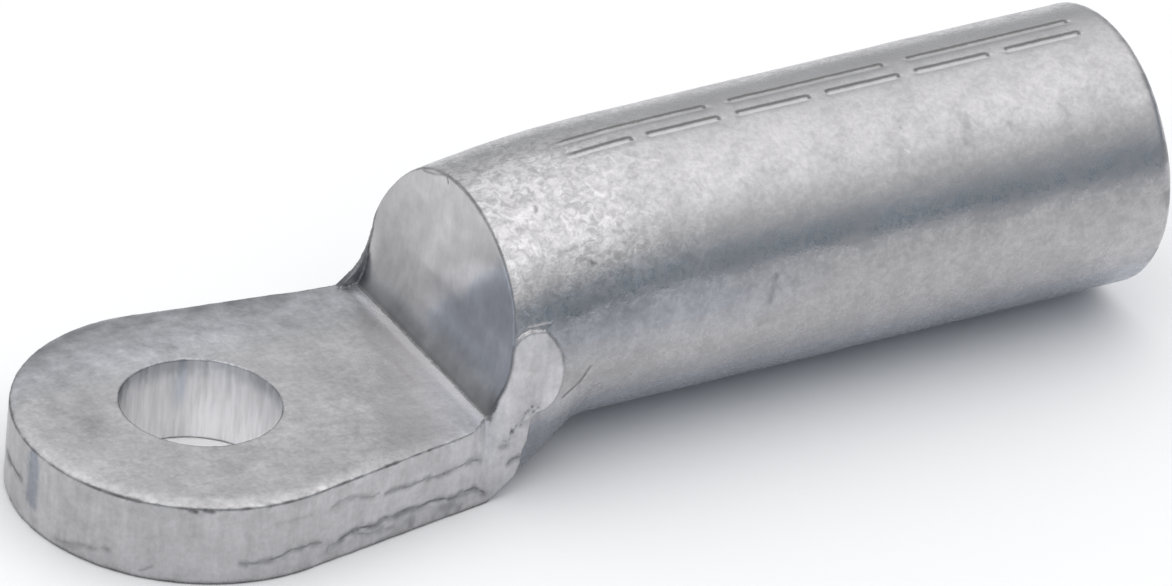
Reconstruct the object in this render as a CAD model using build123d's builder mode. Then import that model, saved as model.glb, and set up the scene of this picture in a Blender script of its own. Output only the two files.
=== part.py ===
from build123d import *
from math import sqrt, sin, cos, asin, atan2, radians, degrees
import os

# Aluminium compression lug for a stranded conductor.  One cold-formed piece:
# a bored barrel, an upright shoulder face and a solid palm with one bolt hole.
#
# Frame: origin on the bolt hole's axis at the palm's underside, +X along the
# barrel towards its open mouth, +Z up, so the palm lies on the XY plane.

# ---- driving dimensions (mm) ------------------------------------------------
# barrel
barrel_d = 23.0            # outside diameter
barrel_z = 12.1            # height of the barrel's axis over the palm's underside
mouth_x = 82.8             # end of the barrel
mouth_round = 1.0          # rounding of the barrel's outer end edge
bore_d = 14.7              # conductor bore
bore_depth = 53.0          # full-diameter depth of the bore
bore_tip = 2.4             # height of the shallow cone that ends the bore
bore_lead_in = 0.5         # chamfer at the bore's mouth

# palm
palm_t = 7.3               # thickness
body_y = -0.4              # the hole is punched this far off the lug's centre
                           # plane, which the palm and the barrel share
head_r = 15.05             # radius of the rounded head
head_x = -0.55             # centre of the head's arc along X
hole_d = 13.0              # bolt hole for an M12 stud
hole_edge = 0.3            # rounding of the hole's upper edge
neck_x = 20.0              # where the palm meets the shoulder
neck_half_w = 11.7         # half the palm's width there
trim_end_x = 27.0          # the trimmed sides run on past the shoulder to here
trim_end_half_w = 11.52
palm_top_round = 0.5       # rolled upper edge of the palm
palm_low_round = 0.35      # lower edge of the palm

# shoulder face: rises from the palm in a hollow curve, then stands upright
face_foot_x = 19.95        # foot of the face, at the palm's top
face_x = 22.0              # face where it becomes upright
face_rise_z = 13.0         # height at which it becomes upright
face_lean_x = 22.6         # face at the height of the crown
face_lean_z = 22.5
face_skew = 1.95           # the face is pressed slightly askew, degrees

# the crown of the barrel sinks towards the shoulder
crown_start_x = 38.0
crown_sink = 1.82          # sink 16 mm in front of crown_start_x
barrel_join_x = 41.0       # plain round barrel from here on

# neck under the shoulder: x, half width before trimming, lower corner radius,
# height of its underside
neck_sections = [
    (17.0, 13.20, 0.50, 0.00),
    (19.0, 12.80, 0.80, 0.00),
    (20.6, 12.40, 2.00, 0.00),
    (22.4, 12.05, 3.50, 0.02),
    (24.0, 11.78, 5.20, 0.13),
    (25.6, 11.50, 6.80, 0.32),
    (27.2, 11.22, 8.50, 0.55),
    (28.6, 10.98, 9.60, 0.82),
    (30.2, 10.70, 10.50, 1.15),
]
blank_end_x = 18.0         # the flat palm blank reaches into the neck

# crimping marks on the crown: two rows of shallow straight grooves
mark_row_y = 0.98          # distance of each row from the barrel's centre plane
mark_w = 0.5
mark_depth = 0.18
long_marks = [(31.3, 45.3), (47.6, 61.8), (64.2, 78.9)]
short_marks = [(30.8, 37.4), (38.9, 45.5), (47.2, 53.9),
               (55.5, 62.2), (63.8, 70.5), (72.1, 78.8)]

barrel_r = barrel_d / 2
bore_r = bore_d / 2


def section(x):
    """Cross-section plane at x: local X across the lug, local Y upwards."""
    return Plane(origin=(x, body_y, 0), x_dir=(0, 1, 0), z_dir=(1, 0, 0))


def level(z):
    """Horizontal plane at height z, centred on the lug's centre plane."""
    return Plane(origin=(0, body_y, z))


def sink(x):
    """How far the crown lies below the full barrel at x."""
    if x >= crown_start_x:
        return 0.0
    return crown_sink * ((crown_start_x - x) / 16.0) ** 2


# ---- the trimmed outline, seen from above ------------------------------------
# The head's arc runs into straight sides that converge towards the shoulder.
dx = neck_x - head_x
dist = sqrt(dx * dx + neck_half_w * neck_half_w)
swing = atan2(neck_half_w, dx) + radians(90) - asin(head_r / dist)
tan_x = head_x + head_r * cos(swing)
tan_y = head_r * sin(swing)

with BuildPart() as trim:
    with BuildSketch(level(0)):
        with BuildLine():
            l1 = ThreePointArc((tan_x, tan_y), (head_x - head_r, 0), (tan_x, -tan_y))
            l2 = Line((tan_x, -tan_y), (neck_x, -neck_half_w))
            l3 = Line(l2 @ 1, (trim_end_x, -trim_end_half_w))
            l4 = Line(l3 @ 1, (trim_end_x, -13))
            l5 = Line(l4 @ 1, (mouth_x + 5, -13))
            l6 = Line(l5 @ 1, (mouth_x + 5, 13))
            l7 = Line(l6 @ 1, (trim_end_x, 13))
            l8 = Line(l7 @ 1, (trim_end_x, trim_end_half_w))
            l9 = Line(l8 @ 1, (neck_x, neck_half_w))
            Line(l9 @ 1, (tan_x, tan_y))
        make_face()
    extrude(amount=30)
    # the trimmed piece takes its rounded lower edge from here
    low_rim = trim.faces().sort_by(Axis.Z)[0].edges().filter_by(
        lambda e: e.center().X < trim_end_x - 0.1)
    fillet(low_rim, palm_low_round)

# ---- the pressing before trimming ---------------------------------------------
# crown part of the barrel: full round below, sinking ellipse above
with BuildPart() as crown:
    for cx in (17.0, 21.0, 25.0, 29.0, 33.0, 36.0, 38.5, barrel_join_x):
        with BuildSketch(section(cx)):
            with BuildLine():
                c1 = EllipticalCenterArc((0, barrel_z), barrel_r, barrel_r - sink(cx),
                                         0, arc_size=180)
                ThreePointArc(c1 @ 1, (0, barrel_z - barrel_r), c1 @ 0)
            make_face()
    loft()

# neck: the squared lower half that carries the palm and fades into the barrel
with BuildPart() as neck:
    for nx, half, rc, low_z in neck_sections:
        with BuildSketch(section(nx)):
            with BuildLine():
                n1 = EllipticalCenterArc((0, barrel_z), half,
                                         barrel_r - sink(nx) - 0.35, 0, arc_size=180)
                n2 = Line(n1 @ 1, (-half, low_z + rc))
                n3 = JernArc(n2 @ 1, (0, -1), rc, 90)
                n4 = Line(n3 @ 1, (half - rc, low_z))
                n5 = JernArc(n4 @ 1, (1, 0), rc, 90)
                Line(n5 @ 1, n1 @ 0)
            make_face()
    loft()

# ---- shoulder face -------------------------------------------------------------
# Everything above the palm and in front of the face is pressed away.  The
# profile is drawn in a vertical plane that is turned by the face's skew.
skew = radians(face_skew)
face_plane = Plane(origin=(face_foot_x, body_y, 0),
                   x_dir=(cos(skew), -sin(skew), 0),
                   z_dir=(-sin(skew), -cos(skew), 0))
rise_u = face_x - face_foot_x
rise_h = face_rise_z - palm_t
hollow_r = (rise_u ** 2 + rise_h ** 2) / (2 * rise_u)
half_turn = asin(rise_h / hollow_r) / 2
mid_u = rise_u - hollow_r + hollow_r * cos(half_turn)
mid_z = face_rise_z - hollow_r * sin(half_turn)
lean_u = face_lean_x - face_foot_x
over_z = 30.0
over_u = lean_u + (lean_u - rise_u) * (over_z - face_lean_z) / (face_lean_z - face_rise_z)

with BuildPart() as face_tool:
    with BuildSketch(face_plane):
        with BuildLine():
            f1 = ThreePointArc((0, palm_t), (mid_u, mid_z), (rise_u, face_rise_z))
            f2 = Line(f1 @ 1, (over_u, over_z))
            f3 = Line(f2 @ 1, (-45, over_z))
            f4 = Line(f3 @ 1, (-45, palm_t))
            Line(f4 @ 1, (0, palm_t))
        make_face()
    extrude(amount=22, both=True)

# ---- the lug --------------------------------------------------------------------
with BuildPart() as lug:
    # palm blank
    with BuildSketch(level(0)):
        blank_x0 = head_x - head_r - 1
        with Locations(((blank_x0 + blank_end_x) / 2, 0)):
            Rectangle(blank_end_x - blank_x0, 2 * head_r + 2)
    extrude(amount=palm_t)
    add(neck.part)
    add(crown.part)
    # plain barrel
    with BuildSketch(section(barrel_join_x)):
        with Locations((0, barrel_z)):
            Circle(barrel_r)
    extrude(amount=mouth_x - barrel_join_x)
    # trim the sides, press the shoulder
    add(trim.part, mode=Mode.INTERSECT)
    add(face_tool.part, mode=Mode.SUBTRACT)

    # rolled upper edge of the palm
    top = lug.faces().filter_by(Plane.XY).group_by(Axis.Z)[-1].sort_by(Axis.X)[0]
    top_rim = top.edges().filter_by(lambda e: e.center().X < face_foot_x - 1.5)
    fillet(top_rim, palm_top_round)

    # conductor bore: straight wall, then a shallow drilled cone
    with BuildSketch(Plane.XZ.offset(-body_y)):
        with BuildLine():
            wall_end = mouth_x - bore_depth
            b1 = Line((mouth_x, barrel_z), (mouth_x, barrel_z + bore_r))
            b2 = Line(b1 @ 1, (wall_end, barrel_z + bore_r))
            b3 = Line(b2 @ 1, (wall_end - bore_tip, barrel_z))
            Line(b3 @ 1, (mouth_x, barrel_z))
        make_face()
    revolve(axis=Axis((0, body_y, barrel_z), (1, 0, 0)), mode=Mode.SUBTRACT)

    # bolt hole
    with BuildSketch():
        Circle(hole_d / 2)
    extrude(amount=palm_t + 1, mode=Mode.SUBTRACT)
    hole_top = lug.edges().filter_by(GeomType.CIRCLE).filter_by(
        lambda e: abs(e.radius - hole_d / 2) < 1e-6 and e.center().Z > palm_t - 0.01)
    fillet(hole_top, hole_edge)

    # barrel end: rounded outside, broken edge inside
    end_edges = lug.faces().sort_by(Axis.X)[-1].edges().sort_by(SortBy.LENGTH)
    fillet(end_edges[-1], mouth_round)
    end_edges = lug.faces().filter_by(Plane.YZ).sort_by(Axis.X)[-1].edges().sort_by(SortBy.LENGTH)
    chamfer(end_edges[0], bore_lead_in)

    # crimping marks, pressed into the crown; the first ones follow its fall
    row_z = barrel_z + sqrt(barrel_r ** 2 - mark_row_y ** 2)
    for side, marks in ((1, long_marks), (-1, short_marks)):
        for x0, x1 in marks:
            fall = 0.7 * sink(x0)
            tilt = atan2(fall, x1 - x0)
            mark_plane = Plane(origin=((x0 + x1) / 2, body_y + side * mark_row_y,
                                       row_z - mark_depth - fall / 2),
                               x_dir=(cos(tilt), 0, sin(tilt)),
                               z_dir=(-sin(tilt), 0, cos(tilt)))
            with BuildSketch(mark_plane):
                SlotOverall(x1 - x0, mark_w)
            extrude(amount=3, mode=Mode.SUBTRACT)

print("solids", len(lug.part.solids()), "volume", round(lug.part.volume, 1),
      "box", lug.part.bounding_box())
lug.part.label = "lug"
os.makedirs("parts", exist_ok=True)
export_step(lug.part, "parts/lug.step")
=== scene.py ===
import bpy
import numpy as np
from mathutils import Matrix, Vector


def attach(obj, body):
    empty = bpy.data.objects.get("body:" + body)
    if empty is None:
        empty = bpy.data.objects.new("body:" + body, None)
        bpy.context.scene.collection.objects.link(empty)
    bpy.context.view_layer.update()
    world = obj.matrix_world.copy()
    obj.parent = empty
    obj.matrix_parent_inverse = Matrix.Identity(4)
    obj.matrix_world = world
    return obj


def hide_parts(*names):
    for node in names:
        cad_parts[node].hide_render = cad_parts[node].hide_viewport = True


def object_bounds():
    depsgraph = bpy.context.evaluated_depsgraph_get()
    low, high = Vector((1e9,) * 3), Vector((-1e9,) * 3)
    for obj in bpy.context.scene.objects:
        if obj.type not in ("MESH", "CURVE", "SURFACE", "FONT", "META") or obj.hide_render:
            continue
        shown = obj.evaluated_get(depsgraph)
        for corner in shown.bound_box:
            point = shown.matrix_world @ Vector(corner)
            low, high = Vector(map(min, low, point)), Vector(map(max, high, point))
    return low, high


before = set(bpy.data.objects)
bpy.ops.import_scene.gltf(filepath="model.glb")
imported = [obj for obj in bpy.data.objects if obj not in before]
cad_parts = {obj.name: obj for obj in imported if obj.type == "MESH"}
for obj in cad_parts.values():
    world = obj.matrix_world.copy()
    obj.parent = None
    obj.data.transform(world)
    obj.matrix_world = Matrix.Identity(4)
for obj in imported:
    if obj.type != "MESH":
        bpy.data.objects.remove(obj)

cad_box = [[float(c) for c in v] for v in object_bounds()]

# =============================================================================
# Aluminium compression lug.  The surface is worked out in millimetres in a
# frame whose XZ plane is the lug's centre plane, then shifted to the row frame.
# =============================================================================
BODY_Y = -0.4            # centre plane of palm and barrel in the row frame
HOLE_Y = 0.4             # bolt hole, from the centre plane
R = 11.5                 # barrel radius
AXIS_Z = 12.1            # barrel axis
MOUTH = 82.8             # barrel end
BORE_R = 7.35
PALM_T = 7.3
HEAD_X, HEAD_Y, HEAD_R = -0.55, -0.10, 14.95

# outline of the sheared ear beside the shoulder, seen from the side (x, z);
# its front is cut by the shoulder face on the near side, and stands as a thin
# wall in front of it on the far side
EAR_NEAR = np.array([
    (16.0, 6.6), (18.5, 6.9), (19.3, 8.2), (19.9, 9.6), (20.4, 11.2), (20.9, 12.8),
    (21.3, 13.7), (21.8, 14.3), (22.3, 14.6), (22.9, 14.72), (23.7, 14.65), (24.4, 14.45),
    (25.1, 13.7), (25.6, 12.9), (26.0, 11.8), (26.2, 10.6), (26.1, 9.25), (25.8, 8.4),
    (25.35, 7.7), (24.7, 7.25), (23.85, 7.15), (23.45, 6.7), (23.3, 5.6), (23.25, 4.8),
    (22.85, 4.0), (22.75, 3.0), (22.4, 1.9), (22.0, 1.5), (21.1, 0.9), (20.3, 0.36),
    (19.2, -0.4), (16.0, -0.4)])
EAR_FAR = np.array([
    (17.4, 6.7), (18.56, 7.12), (18.95, 7.44), (19.37, 7.86), (20.17, 8.6), (20.75, 9.45),
    (21.1, 10.3), (21.33, 11.0), (21.5, 11.8), (21.8, 12.7), (23.0, 13.4),
    (24.6, 13.2), (25.6, 12.4), (26.3, 11.3), (26.6, 10.2), (26.5, 9.1), (26.0, 8.1),
    (25.2, 7.4), (24.2, 6.6), (23.7, 5.3), (23.3, 4.0), (23.0, 2.8), (22.4, 1.7),
    (21.4, 0.95), (20.4, 0.4), (19.2, -0.4), (17.6, -0.4)])


def clamp01(t):
    return np.clip(t, 0.0, 1.0)


def smooth(e0, e1, x):
    t = clamp01((x - e0) / (e1 - e0))
    return t * t * (3 - 2 * t)


def rmax(a, b, r):
    """Intersection of two regions, with the edge rounded to radius r."""
    return (np.minimum(np.maximum(a, b) + r, 0)
            + np.hypot(np.maximum(a + r, 0), np.maximum(b + r, 0)) - r)


def rmin(a, b, r):
    """Union of two regions, with the inner corner filled to radius r."""
    return -rmax(-a, -b, r)


def poly_sdf(x, z, poly):
    """Signed distance to a closed polygon, negative inside."""
    best = np.full(x.shape, 1e9)
    inside = np.zeros(x.shape, bool)
    n = len(poly)
    for i in range(n):
        ax, az = poly[i]
        bx, bz = poly[(i + 1) % n]
        ex, ez = bx - ax, bz - az
        px, pz = x - ax, z - az
        t = clamp01((px * ex + pz * ez) / (ex * ex + ez * ez))
        best = np.minimum(best, (px - t * ex) ** 2 + (pz - t * ez) ** 2)
        cross = ((az > z) != (bz > z)) & (x < (bx - ax) * (z - az) / (bz - az + 1e-12) + ax)
        inside ^= cross
    d = np.sqrt(best)
    return np.where(inside, -d, d)


def hash01(ix, iy, iz, seed):
    h = (ix.astype(np.int64) * 374761393 + iy.astype(np.int64) * 668265263
         + iz.astype(np.int64) * 1274126177 + seed * 974711) & 0xFFFFFFFF
    h = ((h ^ (h >> 13)) * 1103515245) & 0xFFFFFFFF
    h = ((h ^ (h >> 16)) * 2654435761) & 0xFFFFFFFF
    h = h ^ (h >> 15)
    return (h & 0xFFFFFF) / float(0xFFFFFF)


def noise(p, scale, seed):
    """Smooth seeded value noise in -1..1; scale is the size of one cell in mm."""
    q = p / scale
    i = np.floor(q)
    f = q - i
    f = f * f * f * (f * (f * 6 - 15) + 10)
    ix, iy, iz = (i[:, k].astype(np.int64) for k in range(3))
    out = np.zeros(len(p))
    for dx in (0, 1):
        wx = f[:, 0] if dx else 1 - f[:, 0]
        for dy in (0, 1):
            wy = f[:, 1] if dy else 1 - f[:, 1]
            for dz in (0, 1):
                wz = f[:, 2] if dz else 1 - f[:, 2]
                out += wx * wy * wz * hash01(ix + dx, iy + dy, iz + dz, seed)
    return out * 2 - 1


def sink(x):
    """How far the crown lies below the full barrel."""
    return np.where(x < 38.0, 1.82 * ((38.0 - x) / 16.0) ** 2, 0.0)


def outline(x, y):
    """Signed distance to the palm's outline seen from above."""
    px, py = x - HEAD_X, y - HEAD_Y
    ay = np.abs(py)
    # the flank is the tangent from the head's circle to (20, 11.7)
    gx, gy = 20.0 - HEAD_X, 11.7
    dist = np.hypot(gx, gy)
    swing = np.arctan2(gy, gx) + np.arccos(HEAD_R / dist)
    nx, ny = np.cos(swing), np.sin(swing)
    flank = px * nx + ay * ny - HEAD_R
    arc = np.hypot(px, ay) - HEAD_R
    d = np.where(px * ny - ay * nx > 0, flank, arc)
    # past the shoulder the sides run almost straight on
    run = ay - (11.48 - 0.004 * (x - 20.0))
    k = 0.45
    soft = np.minimum(d, run) - 0.25 * k * clamp01(1 - np.abs(d - run) / k) ** 2
    return np.where(x > 12, soft, d)


def shoulder_x(y, z):
    """X of the pressed shoulder face at height z."""
    rise_u, rise_h = 2.05, 5.7
    hr = (rise_u ** 2 + rise_h ** 2) / (2 * rise_u)
    t = np.clip(13.0 - z, 0.0, rise_h + 2.0)
    u = rise_u - hr + np.sqrt(np.maximum(hr * hr - t * t, 1e-6))
    u = np.where(z > 13.0, rise_u + (z - 13.0) * 0.6 / 9.5, u)
    # the middle of the face stands a little proud of its rim
    full = 0.22 * smooth(7.3, 10.6, z) * (1 - smooth(10.6, 19.5, z)) * (1 - smooth(5.5, 10.8, np.abs(y)))
    return 19.95 + 0.034 * y + u - full


def ease_in(y, z):
    """Near the ears the shoulder face stands a little further forward."""
    out = np.where(y < 0, 0.36 * (1 - smooth(12.5, 17.0, z)), 0.84 * (1 - smooth(12.5, 20.0, z)))
    rise = np.where(y < 0, smooth(7.9, 9.4, z), smooth(7.3, 11.4, z))
    return out * np.where(y < 0, smooth(8.4, 11.2, -y), smooth(5.5, 11.4, y)) * rise


# how far the trimmed side leans in where it meets the palm's crest and the
# shoulder's rim, and the height of that edge
LEAN_X = [17.9, 18.6, 19.2, 19.65, 19.85, 20.2, 20.6, 21.1, 21.7, 22.3]
LEAN_IN = [0.0, 0.38, 0.78, 1.10, 0.90, 0.58, 0.32, 0.12, 0.03, 0.0]
LEAN_Z = [7.3, 7.3, 7.3, 7.35, 7.8, 8.7, 9.6, 10.8, 12.0, 13.0]
fine_x = np.arange(16.8, 23.4, 0.05)
weights = np.exp(-(np.arange(-9, 10) * 0.05 / 0.17) ** 2 / 2)
LEAN_IN = np.convolve(np.interp(fine_x, LEAN_X, LEAN_IN), weights / weights.sum(), "same") * 1.05
LEAN_Z = np.interp(fine_x, LEAN_X, LEAN_Z)
LEAN_X = fine_x


def field(x, y, z):
    """Signed distance, roughly, to the lug's surface: negative in the metal."""
    ax = np.clip(x, 17.0, 90.0)
    s = sink(ax)
    # one cross-section for neck and barrel: squared below near the palm
    n = np.interp(ax, [17.0, 20.0, 22.4, 23.3, 25.0, 26.7, 28.0, 29.5, 31.0],
                  [20.0, 12.0, 8.0, 6.2, 4.4, 3.1, 2.45, 2.08, 2.0])
    low = np.interp(ax, [17.0, 21.0, 23.0, 25.0, 27.0, 28.5, 30.0], [0.0, 0.0, 0.04, 0.2, 0.42, 0.55, 0.6])
    half = np.interp(ax, [17.0, 20.0, 22.0, 26.0, 28.0], [11.40, 11.40, 11.41, 11.45, 11.5])
    dz = z - AXIS_Z
    up = dz > 0
    b = np.where(up, R - s, AXIS_Z - low)
    n = 2 + (n - 2) * (1 - np.where(y < 0, smooth(6.4, 7.6, z) * (1 - smooth(23.2, 25.6, ax)), 0))
    e = np.where(up, 2.0, n)
    t = (np.abs(y / half) ** e + np.abs(dz / b) ** e) ** (1 / e)
    tube = rmax((t - 1) * b, x - MOUTH, 1.0)
    body = np.maximum(tube, 16.5 - x)

    trim = outline(x, y)
    # on the near side the trimmed face leans in towards the shoulder's rim
    lean = np.interp(x, LEAN_X, LEAN_IN) * clamp01((z - np.interp(x, LEAN_X, LEAN_Z) + 3.8) / 3.8) ** 1.15
    leaned = np.where((y < 0) & (lean > 0.004) & (z < 13.2), trim + lean, -9.0)
    pull = lean + 0.24 * smooth(12.4, 14.8, z)
    # palm slab, its upper face rolling down to a crisp edge
    t = clamp01((trim + 1.5) / 1.5)
    roll = 0.30 * t * t * (1 - 0.6 * smooth(2.0, 14.0, x)) * (1 - smooth(15.5, 18.5, x))
    trim = trim + np.where(y < 0, pull, 0)
    foot = shoulder_x(y, np.full_like(z, PALM_T)) - x
    ramp = 0.11 * clamp01(1 - foot / 0.8)
    top = PALM_T - roll + ramp
    slab_low = np.interp(x, [19.2, 20.3, 21.1, 22.0], [0.0, 0.36, 0.9, 1.5]) - z
    slab = rmax(trim, z - top, 0.08)
    slab = rmax(slab, slab_low, 0.25)
    slab = np.maximum(slab, x - 21.5)

    m = (x > 14.5) & (x < 30.0) & (z < 17.0) & (np.abs(y) > 6.0)
    near, far = m & (y < 0), m & (y > 0)
    ear = np.full(x.shape, 5.0)
    if near.any():
        ps = np.minimum(poly_sdf(x[near], z[near], EAR_NEAR), 3.0)
        ear[near] = rmax(ps, trim[near], 0.12)
    # shoulder: pressed away above the palm
    press = np.minimum(z - top, (shoulder_x(y, z) - ease_in(y, z) - x) * 0.97)
    solid = np.maximum(np.minimum(body, slab), leaned)
    solid = np.where(near, rmin(solid, ear, 0.06), solid)
    solid = rmax(solid, press, np.where(z > 8.6, 0.20, 0.06))
    # far ear: a thin wall outside the punch's round
    if far.any():
        inner = 11.12 - 3.1 * (1 - smooth(6.3, 7.1, z)) - y      # below the palm's top it is as thick as the near one
        ps = np.minimum(poly_sdf(x[far], z[far], EAR_FAR), 3.0)
        wall = rmax(rmax(ps, trim[far], 0.06), inner[far], 0.04)
        solid[far] = rmin(solid[far], wall, 0.08)

    # conductor bore with its drilled tip, and the broken edge at its mouth
    rb = np.hypot(y, dz)
    tip = (MOUTH - 53.0 - 2.4 + rb * 2.4 / BORE_R)
    bore = np.maximum(rb - BORE_R, (tip - x) * 0.95)
    solid = rmax(solid, -bore, 0.35)
    # bolt hole, and the contact plane
    hole = 6.5 - np.hypot(x, y - HOLE_Y)
    return np.maximum(rmax(solid, hole, 0.07), -z)


def grad(p):
    e = 0.01
    g = np.empty_like(p)
    for k in range(3):
        d = np.zeros(3)
        d[k] = e
        a, b = p + d, p - d
        g[:, k] = (field(*a.T) - field(*b.T)) / (2 * e)
    return g


def project(p, steps=3, cap=0.25):
    for _ in range(steps):
        f = field(*p.T)
        g = grad(p)
        g2 = np.maximum((g ** 2).sum(1), 0.05)
        step = f / g2
        d = -g * step[:, None]
        ln = np.linalg.norm(d, axis=1)
        d *= np.minimum(1.0, cap / np.maximum(ln, 1e-9))[:, None]
        p = p + d
    return p


def unit(v):
    return v / np.maximum(np.linalg.norm(v, axis=-1), 1e-12)[..., None]


# ---- first mesh from a regular grid -----------------------------------------
def surface_nets(h):
    def planes(lo, hi, fine):
        out = [lo]
        while out[-1] < hi:
            step = h
            for a, b, s in fine:
                if a - 0.01 < out[-1] < b:
                    step = s
            out.append(out[-1] + step)
        return np.array(out)

    gx = planes(-16.4, 83.7, [(17.2, 23.6, 0.30)])
    gy = planes(-15.9, 15.9, [(-12.1, -10.4, 0.30), (10.6, 12.1, 0.17)])
    gz = planes(-0.9, 24.5, [(6.6, 8.4, 0.28)])
    cnt = np.array([len(gx), len(gy), len(gz)])
    F = np.empty(cnt)
    for i0 in range(0, cnt[0], 24):
        X, Y, Z = np.meshgrid(gx[i0:i0 + 24], gy, gz, indexing="ij")
        F[i0:i0 + 24] = field(X.ravel(), Y.ravel(), Z.ravel()).reshape(X.shape)
    F[np.abs(F) < 1e-6] = 1e-6
    ins = F < 0
    nx, ny, nz = cnt - 1
    cs = np.zeros((nx, ny, nz), int)
    for a in (0, 1):
        for b in (0, 1):
            for c in (0, 1):
                cs += ins[a:a + nx, b:b + ny, c:c + nz]
    act = (cs > 0) & (cs < 8)
    idx = np.full(act.shape, -1)
    cell = np.argwhere(act)
    idx[act] = np.arange(len(cell))
    acc = np.zeros((len(cell), 3))
    num = np.zeros(len(cell))
    corners = [(a, b, c) for a in (0, 1) for b in (0, 1) for c in (0, 1)]
    for a in corners:
        for k in range(3):
            if a[k]:
                continue
            b = list(a)
            b[k] = 1
            fa = F[cell[:, 0] + a[0], cell[:, 1] + a[1], cell[:, 2] + a[2]]
            fb = F[cell[:, 0] + b[0], cell[:, 1] + b[1], cell[:, 2] + b[2]]
            cr = (fa < 0) != (fb < 0)
            t = np.where(cr, fa / np.where(cr, fa - fb, 1), 0)
            q = np.array(a, float)[None] + np.zeros((len(cell), 3))
            q[:, k] = t
            acc[cr] += q[cr]
            num[cr] += 1
    part = acc / num[:, None]
    verts = np.stack([g[cell[:, k]] + part[:, k] * (g[cell[:, k] + 1] - g[cell[:, k]])
                      for k, g in enumerate((gx, gy, gz))], 1)
    quads = []
    for k, (u, v) in enumerate(((1, 2), (2, 0), (0, 1))):
        sl0 = [slice(None)] * 3
        sl1 = [slice(None)] * 3
        sl0[k], sl1[k] = slice(0, -1), slice(1, None)
        a, b = ins[tuple(sl0)], ins[tuple(sl1)]
        e = np.argwhere(a != b)
        flip = b[e[:, 0], e[:, 1], e[:, 2]]
        ok = (e[:, u] > 0) & (e[:, v] > 0) & (e[:, u] < cnt[u] - 1) & (e[:, v] < cnt[v] - 1)
        e, flip = e[ok], flip[ok]
        c = []
        for du, dv in ((-1, -1), (0, -1), (0, 0), (-1, 0)):
            q = e.copy()
            q[:, u] += du
            q[:, v] += dv
            c.append(idx[q[:, 0], q[:, 1], q[:, 2]])
        c = np.array(c).T
        c[flip] = c[flip][:, ::-1]
        quads.append(c)
    quads = np.concatenate(quads)
    p = verts[quads]
    d02 = np.linalg.norm(p[:, 0] - p[:, 2], axis=1)
    d13 = np.linalg.norm(p[:, 1] - p[:, 3], axis=1)
    s = d02 < d13
    tris = np.concatenate([quads[s][:, [0, 1, 2]], quads[s][:, [0, 2, 3]],
                           quads[~s][:, [1, 2, 3]], quads[~s][:, [1, 3, 0]]])
    return verts, tris


def edges_of(tris):
    e = np.sort(np.concatenate([tris[:, [0, 1]], tris[:, [1, 2]], tris[:, [2, 0]]]), axis=1)
    key = e[:, 0].astype(np.int64) * (tris.max() + 1) + e[:, 1]
    uk, inv = np.unique(key, return_inverse=True)
    ue = np.stack([uk // (tris.max() + 1), uk % (tris.max() + 1)], 1)
    return ue, inv.reshape(3, -1).T


def relax(p, tris, amount=0.5, fixed=None):
    """Evens the triangles out along the surface, without moving it."""
    ue, _ = edges_of(tris)
    n = len(p)
    acc = np.stack([np.bincount(ue[:, 0], p[ue[:, 1], k], n) + np.bincount(ue[:, 1], p[ue[:, 0], k], n)
                    for k in range(3)], 1)
    num = np.bincount(ue.ravel(), minlength=n)
    d = acc / np.maximum(num, 1)[:, None] - p
    nrm = unit(grad(p))
    d -= nrm * (d * nrm).sum(1)[:, None]
    if fixed is not None:
        d[fixed] = 0
    return p + amount * d


def refine(p, tris, want):
    """One round of edge splitting where want(ends, length) is true."""
    ue, te = edges_of(tris)
    a, b = p[ue[:, 0]], p[ue[:, 1]]
    ln = np.linalg.norm(a - b, axis=1)
    mark = want(a, b, ln)
    for _ in range(6):                       # a split triangle splits its longest edge too
        tm = mark[te]
        lone = tm.any(1)
        longest = te[np.arange(len(te)), ln[te].argmax(1)]
        new = mark.copy()
        new[longest[lone]] = True
        if (new == mark).all():
            break
        mark = new
    mid = np.full(len(ue), -1)
    mid[mark] = len(p) + np.arange(mark.sum())
    q = np.concatenate([p, (a[mark] + b[mark]) / 2])
    tm = mark[te]
    cnt = tm.sum(1)
    out = [tris[cnt == 0]]
    for r in range(3):                       # one marked edge
        s = (cnt == 1) & tm[:, r]
        t, m = tris[s], mid[te[s, r]]
        i, j, k = t[:, r], t[:, (r + 1) % 3], t[:, (r + 2) % 3]
        out += [np.stack([i, m, k], 1), np.stack([m, j, k], 1)]
        s = (cnt == 2) & ~tm[:, r]           # two marked edges, r is the free one
        t = tris[s]
        i, j, k = t[:, r], t[:, (r + 1) % 3], t[:, (r + 2) % 3]
        m1, m2 = mid[te[s, (r + 1) % 3]], mid[te[s, (r + 2) % 3]]
        # quad i, j, m1, m2 : cut along the shorter diagonal
        c = np.linalg.norm(q[i] - q[m1], axis=1) < np.linalg.norm(q[j] - q[m2], axis=1)
        out += [np.stack([m1, k, m2], 1),
                np.stack([i[c], j[c], m1[c]], 1), np.stack([i[c], m1[c], m2[c]], 1),
                np.stack([i[~c], j[~c], m2[~c]], 1), np.stack([j[~c], m1[~c], m2[~c]], 1)]
    s = cnt == 3
    t, m = tris[s], mid[te[s]]
    out += [np.stack([t[:, 0], m[:, 0], m[:, 2]], 1), np.stack([m[:, 0], t[:, 1], m[:, 1]], 1),
            np.stack([m[:, 2], m[:, 1], t[:, 2]], 1), m]
    return q, np.concatenate(out), np.arange(len(p), len(q))


# ---- small features -----------------------------------------------------------
LONG_MARKS = [(31.3, 45.3), (47.6, 61.8), (64.2, 79.1)]
SHORT_MARKS = [(30.8, 37.4), (38.9, 45.5), (47.2, 53.9), (55.5, 62.2), (63.8, 70.6), (72.25, 79.1)]


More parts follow.
